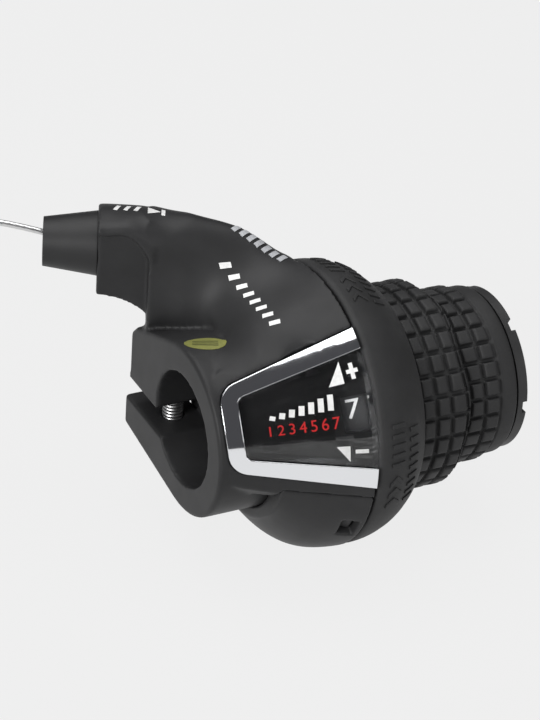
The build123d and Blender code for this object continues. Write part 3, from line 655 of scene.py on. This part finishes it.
# The lower cover's underside is drawn in most a little outboard of the bowl's start, and not at the rim
BOWL_X = 11.0
BOWL_DRAW = 9.5
BOWL_POWERS = (2.7, 4.2)
BOWL_SPREAD_DEG = 55.0
OUTER_FROM = 0.25
OUTER_FADE = 0.8


def skin_of(name, voxel):
    """The node's shape as an even mesh whose edges are rounded off."""
    holder = bpy.data.objects.new(name, nodes[name].data.copy())
    even = holder.modifiers.new("even", "REMESH")
    even.mode = "VOXEL"
    even.voxel_size = voxel * MM
    ease = holder.modifiers.new("ease", "SMOOTH")
    ease.factor = EASE
    ease.iterations = EASE_PASSES
    return final_mesh(holder)


def read_points(mesh):
    points = np.zeros(len(mesh.vertices) * 3)
    mesh.vertices.foreach_get("co", points)
    return points.reshape(-1, 3) / MM


def write_points(mesh, points):
    mesh.vertices.foreach_set("co", (points * MM).ravel())
    mesh.update()


def relaxed(mesh, points, weight, passes):
    """Points drawn towards the middle of their neighbours, as far as each one's weight says."""
    ends = np.zeros(len(mesh.edges) * 2, np.int64)
    mesh.edges.foreach_get("vertices", ends)
    one, two = ends.reshape(-1, 2).T
    size = len(points)
    count = np.bincount(ends, minlength=size)[:, None]

    def neighbour_sum(values):
        return np.bincount(one, values[two], size) + np.bincount(two, values[one], size)

    for _ in range(passes):
        total = np.stack([neighbour_sum(values) for values in points.T], 1)
        points = points + EASE * weight[:, None] * (total / count - points)
    return points


def near(points, centre, inner, outer):
    """1 near a place, falling to 0 at an outer distance."""
    far = np.linalg.norm(points - np.array(centre), axis=1)
    share = np.clip((outer - far) / (outer - inner), 0, 1)
    return share * share * (3 - 2 * share)


def within_skin(weight, x, inside):
    """A weight without the cone's rim and the faces inside the cone."""
    weight = weight * np.clip((BLEND_STOP_X - x) / BLEND_FADE, 0, 1)
    weight[inside & (x > INNER_X)] = 0
    return weight


def raised_ridge(points):
    """How far each point is raised, by its place along the ridge line and its distance from it."""
    away = np.full(len(points), np.inf)
    lift = np.zeros(len(points))
    for start, end, start_lift, end_lift in zip(RIDGE, RIDGE[1:], RIDGE_LIFT, RIDGE_LIFT[1:]):
        way = end - start
        share = np.clip((points - start) @ way / (way @ way), 0, 1)
        far = np.linalg.norm(points - start - share[:, None] * way, axis=1)
        lift = np.where(far < away, start_lift + (end_lift - start_lift) * share, lift)
        away = np.minimum(away, far)
    return lift * np.exp(-((away / RIDGE_WIDTH) ** 2))


def body_skin():
    mesh = skin_of("housing", BODY_VOXEL)
    points = read_points(mesh)
    inside = np.hypot(points[:, 1], points[:, 2]) < cone_r(points[:, 0]) - SHELL_WALL
    blend = np.maximum.reduce([near(points, *place) for place in BLENDS])
    blend = within_skin(blend, points[:, 0], inside)
    points = relaxed(mesh, points, blend, BLEND_PASSES)
    points[:, 2] += raised_ridge(points)
    saddle = np.maximum(near(points, *SADDLE), blend)
    saddle = within_skin(saddle, points[:, 0], inside)
    points = relaxed(mesh, points, saddle, SADDLE_PASSES)
    write_points(mesh, points)
    made = add_object("body_skin", mesh, "housing", body_plastic)
    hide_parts("housing")
    return made


def cover_skin():
    mesh = skin_of("lower_cover", COVER_VOXEL)
    points = read_points(mesh)
    x = points[:, 0]
    radius = np.hypot(points[:, 1], points[:, 2])
    below = np.degrees(np.arctan2(points[:, 1], -points[:, 2]))
    to_rim = np.clip((x - BOWL_X) / (RIM_X - BOWL_X), 0, 1)
    outer = np.clip((radius - (cone_r(x) - SHELL_WALL) - OUTER_FROM) / OUTER_FADE, 0, 1)
    first, second = BOWL_POWERS
    along = (1 - to_rim) ** first - (1 - to_rim) ** second
    draw = BOWL_DRAW * along * np.exp(-((below / BOWL_SPREAD_DEG) ** 4))
    shrink = 1 - outer * draw / radius
    points[:, 1] *= shrink
    points[:, 2] *= shrink
    write_points(mesh, points)
    made = add_object("cover_skin", mesh, "housing", body_plastic)
    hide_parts("lower_cover")


skin = body_skin()
cover_skin()

# Marks on the moulded body follow its surface
MARK_LIFT = 0.03
RAY_START = 5.0
SILVER_THICK = 0.12
STICKER_THICK = 0.05
STICKER_LINES_LIFT = 0.08
STICKER_LINES_THICK = 0.02

body_surface = BVHTree.FromPolygons(
    [vert.co for vert in skin.data.vertices],
    [tuple(face.vertices) for face in skin.data.polygons],
)


def on_body(origin, along, towards, lift=MARK_LIFT):
    """Places flat points on the body, seen along the normal of the plane of two directions."""
    first = Vector(along).normalized()
    normal = first.cross(Vector(towards)).normalized()
    second = normal.cross(first)

    def place(p, q, up):
        start = (Vector(origin) + first * p + second * q + normal * RAY_START) * MM
        spot = body_surface.ray_cast(start, -normal)[0]
        return spot + normal * (lift + up) * MM

    return place


SADDLE_MARKS = ((14.6, 4.0, 23.7), (0.09, -0.98, -0.14), (0.87, 0.06, 0.49))
ARM_MARKS = ((20.2, 13.5, 28.6), (0.66, -0.65, -0.38), (0.62, 0.70, 0.12))
ARM_END_MARKS = ((0.2, 25.0, 33.8), (0.90, -0.43, 0.0), (0.43, 0.90, 0.0))
STICKER = ((4.75, 1.7, 16.6), (0.91, -0.42, 0.0), (0.42, 0.91, 0.0))

saddle_dashes = slanted_bars(count=8, pitch=2.45, foot=-8.6, head=-7.7, half=0.95, width=0.95)
arm_bars = slanted_bars(count=7, pitch=1.7, foot=-5.0, head=-4.3, half=1.2, width=1.0)
end_bars = slanted_bars(count=3, pitch=1.9, foot=-3.6, head=-2.9, half=1.1, width=0.8)
end_arrow = [(2.5, -1.5), (4.9, 0.0), (2.5, 1.5)]
end_stop = bar(5.4, -1.2, 5.4, 1.2, 0.7)
sticker_lines = rungs(count=3, pitch=0.75, first=-0.75, half=2.4, width=0.35)

printed("saddle_dashes", saddle_dashes, on_body(*SADDLE_MARKS), white_ink)
wrapped("arm_bars", arm_bars, on_body(*ARM_MARKS), SILVER_THICK, "housing", silver_ink)
printed("arm_end_marks", end_bars + [end_arrow, end_stop], on_body(*ARM_END_MARKS), white_ink)
printed("sticker", [oval(half_long=3.9, half_short=2.4)], on_body(*STICKER), lime_ink, STICKER_THICK)
sticker_face = on_body(*STICKER, lift=STICKER_LINES_LIFT)
printed("sticker_bars", sticker_lines, sticker_face, olive_ink, STICKER_LINES_THICK)

# Rubber cover: smooth collar, block tread that twists a little at the step, end band
COLLAR_X = 27.2
COLLAR_END = 39.7
COLLAR_ARC = [(27.8, 27.4), (34.0, 26.2), (COLLAR_END, 21.9)]
COLLAR_STATIONS = 14
COLLAR_LIP = 0.5
ROWS = 30
TREAD_COLUMNS = 3
TAIL_COLUMNS = 2
TREAD_R = 20.2
TAIL_R = 17.3
TREAD_DEPTH = 1.1
STEP_X = 49.4
STEP_END = 52.3
STEP_GAP = 0.9
STEP_HEIGHT = 0.95
BAND_X = 59.4
BAND_FLAT_END = 61.2
BAND_R = 16.6
END_X = 63.0
END_ROUND = 0.9
END_STEPS = 4
GAP = 0.8
TREAD_FLOOR = TREAD_R - TREAD_DEPTH
TAIL_FLOOR = TAIL_R - TREAD_DEPTH

# The cover's inboard face, and its bore over the sleeve from the outboard end back to the collar
COLLAR_BORE_R = 24.86
COLLAR_BORE_X = 29.2
TREAD_BORE_R = 18.46
TREAD_BORE_X = 50.1
TAIL_BORE_R = 15.46
FACE = [(COLLAR_X, 24.9), (COLLAR_X, 26.7), (COLLAR_X + 0.2, 27.1)]
BORE = [
    (END_X, 15.5),
    (END_X - 1.0, TAIL_BORE_R),
    (TREAD_BORE_X, TAIL_BORE_R),
    (TREAD_BORE_X, TREAD_BORE_R),
    (COLLAR_BORE_X, TREAD_BORE_R),
    (COLLAR_BORE_X, COLLAR_BORE_R),
]

# Rounding of a block: distance from its edge and share of its height
BLOCK_EDGE = [(0.0, 0.0), (0.05, 0.55), (0.16, 0.86), (0.34, 0.97), (0.7, 1.0)]

# Twist of the tread past the step, and the waves of the grooves on the step
TWIST_DEG = 2.4
TWIST_END = STEP_END + 0.2
SWAY = 0.35
SWAY_WAVES = 6
SWAY_START = (STEP_X - 1.6, STEP_X + 0.8)
SWAY_END = (STEP_END, STEP_END + 2.4)


def collar_circle():
    """Centre and radius of the collar's arc, through its three points."""
    (ax, ay), (bx, by), (cx, cy) = COLLAR_ARC
    d = 2 * (ax * (by - cy) + bx * (cy - ay) + cx * (ay - by))
    a2, b2, c2 = ax * ax + ay * ay, bx * bx + by * by, cx * cx + cy * cy
    ux = (a2 * (by - cy) + b2 * (cy - ay) + c2 * (ay - by)) / d
    uy = (a2 * (cx - bx) + b2 * (ax - cx) + c2 * (bx - ax)) / d
    return ux, uy, hypot(ax - ux, ay - uy)


ARC_X, ARC_Y, ARC_R = collar_circle()


def collar_r(x):
    return ARC_Y + sqrt(ARC_R ** 2 - (x - ARC_X) ** 2)


def smooth_step(low, high, value):
    share = min(1.0, max(0.0, (value - low) / (high - low)))
    return share * share * (3 - 2 * share)


def block_stations(start, end):
    """Places along a block and how far it is raised there, rounded at both ends."""
    rise = [(start + distance, height) for distance, height in BLOCK_EDGE]
    fall = [(end - distance, height) for distance, height in reversed(BLOCK_EDGE)]
    return rise + fall


def plain(points):
    """Stations without blocks."""
    return [(x, radius, 0.0) for x, radius in points]


def collar_stations():
    start = COLLAR_ARC[0][0]
    length = COLLAR_END - COLLAR_LIP - start
    places = [start + length * i / COLLAR_STATIONS for i in range(COLLAR_STATIONS + 1)]
    lip = [
        (COLLAR_END - 0.2, collar_r(COLLAR_END) - 0.15),
        (COLLAR_END, collar_r(COLLAR_END) - 0.7),
        (COLLAR_END + 0.1, TREAD_FLOOR + 0.1),
    ]
    return plain([(x, collar_r(x)) for x in places] + lip)


def tread_stations():
    """Columns of blocks on the tread, one on the step down, and those on the tail."""
    stations = []
    pitch = (STEP_X - COLLAR_END) / TREAD_COLUMNS
    for column in range(TREAD_COLUMNS):
        start = COLLAR_END + column * pitch + GAP
        for x, raised in block_stations(start, COLLAR_END + (column + 1) * pitch):
            stations.append((x, TREAD_FLOOR, raised))
    for x, raised in block_stations(STEP_X + GAP, STEP_END - STEP_GAP):
        drop = (TAIL_R - TREAD_R) * smooth_step(STEP_X, STEP_END, x)
        stations.append((x, TREAD_FLOOR + drop, raised * STEP_HEIGHT))
    pitch = (BAND_X - STEP_END) / TAIL_COLUMNS
    for column in range(TAIL_COLUMNS):
        start = STEP_END + column * pitch
        for x, raised in block_stations(start, start + pitch - GAP):
            stations.append((x, TAIL_FLOOR, raised))
    return stations


def band_stations():
    band = [
        (BAND_X, TAIL_FLOOR),
        (BAND_X + 0.12, TAIL_FLOOR + 0.35),
        (BAND_X + 0.35, BAND_R - 0.08),
        (BAND_X + 0.7, BAND_R),
        (BAND_FLAT_END, BAND_R),
    ]
    for i in range(END_STEPS + 1):
        angle = pi / 2 * (1 - i / END_STEPS)
        x = END_X - END_ROUND + END_ROUND * cos(angle)
        band.append((x, BAND_R - END_ROUND + END_ROUND * sin(angle)))
    return plain(band)


def tread_angles():
    """Angles round the bar, row by row, and how far a block is raised at each."""
    pitch = 360 / ROWS
    width = radians(pitch) * TREAD_R
    blocks = block_stations(GAP / 2, width - GAP / 2)
    row = [(0.0, 0.0)] + [(place / width, height) for place, height in blocks]
    return [((i + share) * pitch, height) for i in range(ROWS) for share, height in row]


def rubber_cover():
    # Stations along the bar: place, radius of the groove floor, share of the block's height
    stations = plain(FACE) + collar_stations() + tread_stations() + band_stations() + plain(BORE)
    angles = tread_angles()
    form = bmesh.new()
    loops = []
    for x, radius, raised in stations:
        sway = smooth_step(*SWAY_START, x) * (1 - smooth_step(*SWAY_END, x))
        twist = TWIST_DEG * smooth_step(STEP_X, TWIST_END, x)
        loop = []
        for angle, height in angles:
            place = x + SWAY * sway * sin(radians(angle * SWAY_WAVES))
            lift = TREAD_DEPTH * min(raised, height)
            loop.append(form.verts.new(turned(place, radius + lift, angle + twist)))
        loops.append(loop)
    count = len(angles)
    for one, two in zip(loops, loops[1:] + loops[:1]):
        for i in range(count):
            j = (i + 1) % count
            form.faces.new((one[i], one[j], two[j], two[i]))
    bmesh.ops.recalc_face_normals(form, faces=form.faces)
    mesh = bpy.data.meshes.new("rubber_cover")
    form.to_mesh(mesh)
    form.free()
    made = add_object("rubber_cover", mesh, "grip", rubber)
    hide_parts("grip_cover")


rubber_cover()

# Raised direction marks round the collar, sunk a little into the rubber
COLLAR_GROUPS = 4
COLLAR_SINK = 0.08
COLLAR_THICK = 0.38
COLLAR_ROUND = 0.14
ARROWS_X = 31.2
BARS_X = 35.2
BARS_TURN = 6.0


def on_collar(x0, dial0):
    """Places flat points on the collar: p along the bar, q round it."""

    def place(p, q, up):
        x = x0 + p
        return turned(x, collar_r(x) - COLLAR_SINK + up, dial0 + degrees(q / collar_r(x0)))

    return place


def raised_mark(name, shapes, place):
    wrapped(name, shapes, place, COLLAR_THICK, "grip", rubber, COLLAR_ROUND)


collar_arrows = [chevron(-8.5 + 2.6 * i, size=1.5, width=0.9) for i in range(3)]
arrow_rungs = rungs(count=5, pitch=1.9, first=1.6, half=1.5, width=0.8)
collar_bars = rungs(count=9, pitch=1.9, first=-10.6, half=1.2, width=0.8)
for group in range(COLLAR_GROUPS):
    dial = 360 / COLLAR_GROUPS * group
    raised_mark("collar_arrows_%d" % group, collar_arrows + arrow_rungs, on_collar(ARROWS_X, dial))
    raised_mark("collar_bars_%d" % group, collar_bars, on_collar(BARS_X, dial + BARS_TURN))

# Floor, backdrop and studio lights
FLOOR_Z = -27.6
FLOOR_HALF = 3.0
FLOOR_BASE = (0.22, 0.22, 0.22, 1)
FLOOR_GLOW = (0.96, 0.96, 0.96, 1)
FLOOR_FLAT = 0.86
SKY_LIGHT = (0.07, 0.07, 0.075, 1)
SKY_TONE = (0.83, 0.83, 0.83, 1)


def larger(tree, one, two):
    made = tree.nodes.new("ShaderNodeMath")
    made.operation = "MAXIMUM"
    tree.links.new(one, made.inputs[0])
    tree.links.new(two, made.inputs[1])
    return made.outputs["Value"]


def floor_pale():
    """Pale floor: mostly an even glow where it is seen, and the rest a surface that takes the shadow."""
    made, tree, shader = material("floor_pale")
    shader.inputs["Base Color"].default_value = FLOOR_BASE
    shader.inputs["Roughness"].default_value = 0.9
    glow = tree.nodes.new("ShaderNodeEmission")
    glow.inputs["Color"].default_value = FLOOR_GLOW
    path = tree.nodes.new("ShaderNodeLightPath")
    through = larger(tree, path.outputs["Is Glossy Ray"], path.outputs["Is Transmission Ray"])
    share = tree.nodes.new("ShaderNodeMath")
    share.operation = "MULTIPLY"
    share.inputs[1].default_value = FLOOR_FLAT
    tree.links.new(larger(tree, path.outputs["Is Camera Ray"], through), share.inputs[0])
    mix = tree.nodes.new("ShaderNodeMixShader")
    tree.links.new(share.outputs["Value"], mix.inputs["Fac"])
    tree.links.new(shader.outputs["BSDF"], mix.inputs[1])
    tree.links.new(glow.outputs["Emission"], mix.inputs[2])
    tree.links.new(mix.outputs["Shader"], tree.nodes["Material Output"].inputs["Surface"])
    return made


def make_floor():
    signs = [(-1, -1), (1, -1), (1, 1), (-1, 1)]
    corners = [(x * FLOOR_HALF, y * FLOOR_HALF, FLOOR_Z * MM) for x, y in signs]
    mesh = bpy.data.meshes.new("floor")
    mesh.from_pydata(corners, [], [(0, 1, 2, 3)])
    mesh.materials.append(floor_pale())
    floor = bpy.data.objects.new("floor", mesh)
    scene.collection.objects.link(floor)


def make_sky():
    """Dim light from all round, behind a pale backdrop that only the camera sees."""
    world = bpy.data.worlds.new("studio")
    world.use_nodes = True
    tree = world.node_tree
    path = tree.nodes.new("ShaderNodeLightPath")
    tone = tree.nodes.new("ShaderNodeMixRGB")
    tone.inputs["Color1"].default_value = SKY_LIGHT
    tone.inputs["Color2"].default_value = SKY_TONE
    tree.links.new(path.outputs["Is Camera Ray"], tone.inputs["Fac"])
    tree.links.new(tone.outputs["Color"], tree.nodes["Background"].inputs["Color"])
    scene.world = world


def area_light(name, place, aim, width, height, power):
    data = bpy.data.lights.new(name, "AREA")
    data.shape = "RECTANGLE"
    data.size = width
    data.size_y = height
    data.energy = power
    light = bpy.data.objects.new(name, data)
    scene.collection.objects.link(light)
    light.location = place
    light.rotation_mode = "QUATERNION"
    light.rotation_quaternion = (Vector(aim) - Vector(place)).to_track_quat("-Z", "Y")


make_floor()
make_sky()
area_light("top", place=(-0.06, 0.142, 0.60), aim=(-0.06, 0.142, 0.0), width=0.70, height=0.60, power=4.0)
area_light("left", place=(-0.90, -0.42, 0.39), aim=(0.0, 0.0, 0.0), width=0.52, height=0.52, power=8.4)
area_light("front", place=(0.25, -0.70, 0.30), aim=(0.04, 0.0, 0.0), width=0.40, height=0.40, power=1.3)
scene.view_settings.view_transform = "Standard"
